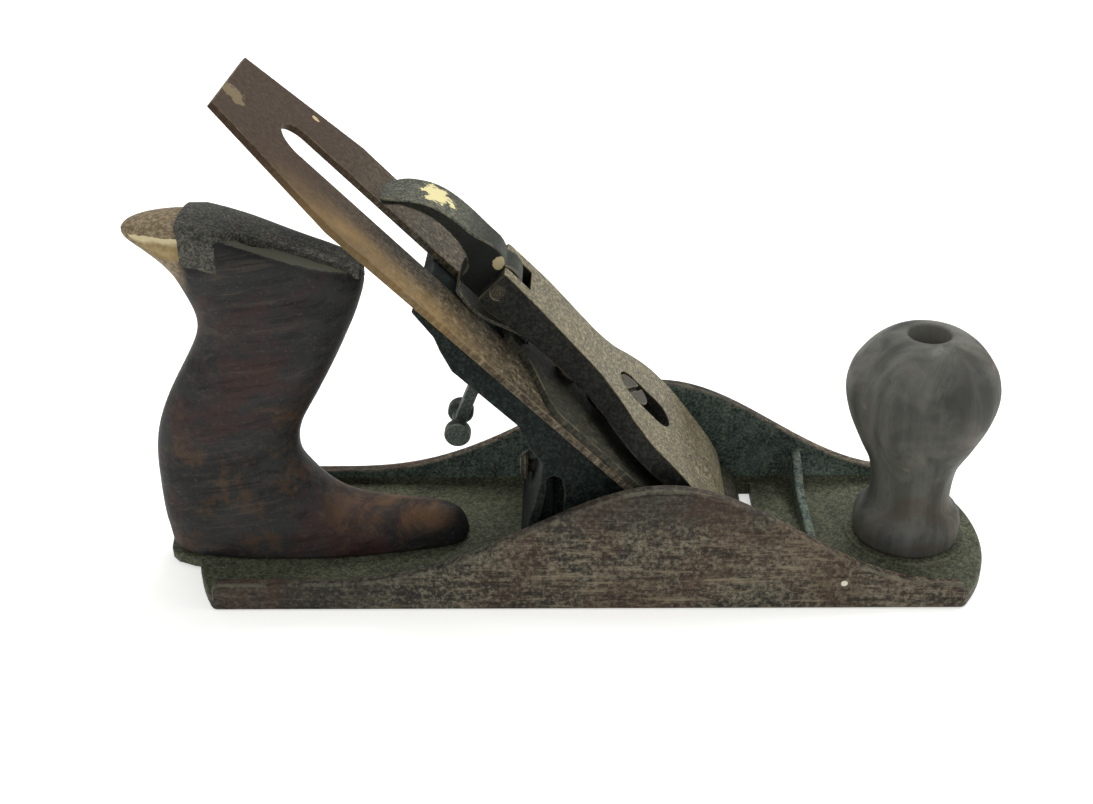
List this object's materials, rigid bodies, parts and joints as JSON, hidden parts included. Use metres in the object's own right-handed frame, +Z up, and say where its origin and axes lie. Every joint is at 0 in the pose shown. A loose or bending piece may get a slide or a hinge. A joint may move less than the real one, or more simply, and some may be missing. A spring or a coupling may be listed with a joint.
{
  "type": "smoothing plane",
  "caption": "Old metal bench plane for smoothing with dark wood knob and tote, lever cap, cap iron and a lever that sets the depth of cut.",
  "frame": {"origin": "centre of the sole, midway along the casting and on its centre line, in the plane of the sole's flat face", "axes": "+X to the toe, +Z up from the sole, +Y to the left of someone who pushes the plane"},
  "size_m": [0.2374, 0.062, 0.1417],
  "materials": {
    "cast_body": "aged dark brown rust patina, dull and finely pitted",
    "frog_iron": "dark grey-green worn casting",
    "iron_steel": "grey-brown tarnished tool steel with bright worn edges",
    "cap_metal": "tan-grey worn face with fine scratches",
    "cam_metal": "grey metal with remains of pale yellow paint",
    "spring_steel": "dark blued spring steel",
    "lever_steel": "blackened steel",
    "fastener_steel": "dull oxidised steel",
    "nut_metal": "tarnished brass",
    "knob_wood": "dark worn hardwood with satin polish",
    "tote_wood": "dark red-brown hardwood with worn orange-brown areas",
    "wrap_sheet": "dark hardened wrap, matt"
  },
  "bodies": {
    "plane_body": {"body_casting": "cast_body", "frog": "frog_iron", "frog_screws": "fastener_steel", "frog_washers": "fastener_steel", "frog_rear_screw": "fastener_steel", "adjusting_pin": "fastener_steel", "lever_cap_screw": "fastener_steel", "knob": "knob_wood", "knob_rod": "fastener_steel", "knob_nut": "nut_metal", "tote": "tote_wood", "tote_rod": "fastener_steel", "tote_nut": "nut_metal", "tote_wrap": "wrap_sheet"},
    "cap_body": {"lever_cap": "cap_metal", "lever_cap_spring": "spring_steel", "spring_rivet": "fastener_steel", "cam_pin": "fastener_steel"},
    "cam_body": {"cam_lever": "cam_metal"},
    "adjuster_body": {"adjusting_lever": "lever_steel"},
    "iron_body": {"cutter_iron": "iron_steel", "cap_iron": "iron_steel", "cap_iron_screw": "fastener_steel"}
  },
  "joints": [
    {"name": "lever_cap_slide", "type": "slide", "parent": "plane_body", "child": "cap_body", "axis": [-0.6896, 0, 0.7242], "range_m": [0, 0.0088]},
    {"name": "cam_hinge", "type": "hinge", "parent": "cap_body", "child": "cam_body", "pos_m": [-0.0232, 0, 0.087], "axis": [0, 1, 0], "range_deg": [0, 90]},
    {"name": "adjuster_hinge", "type": "hinge", "parent": "plane_body", "child": "adjuster_body", "pos_m": [-0.02759, 0, 0.06073], "axis": [0, 1, 0], "range_deg": [-8, 8]},
    {"name": "iron_slide", "type": "slide", "parent": "plane_body", "child": "iron_body", "axis": [-0.6896, 0, 0.7242], "range_m": [-0.0017, 0.0017]}
  ],
  "couplings": [
    {"joint": "adjuster_hinge", "follows": "iron_slide", "rad_per_m": -78.74}
  ]
}
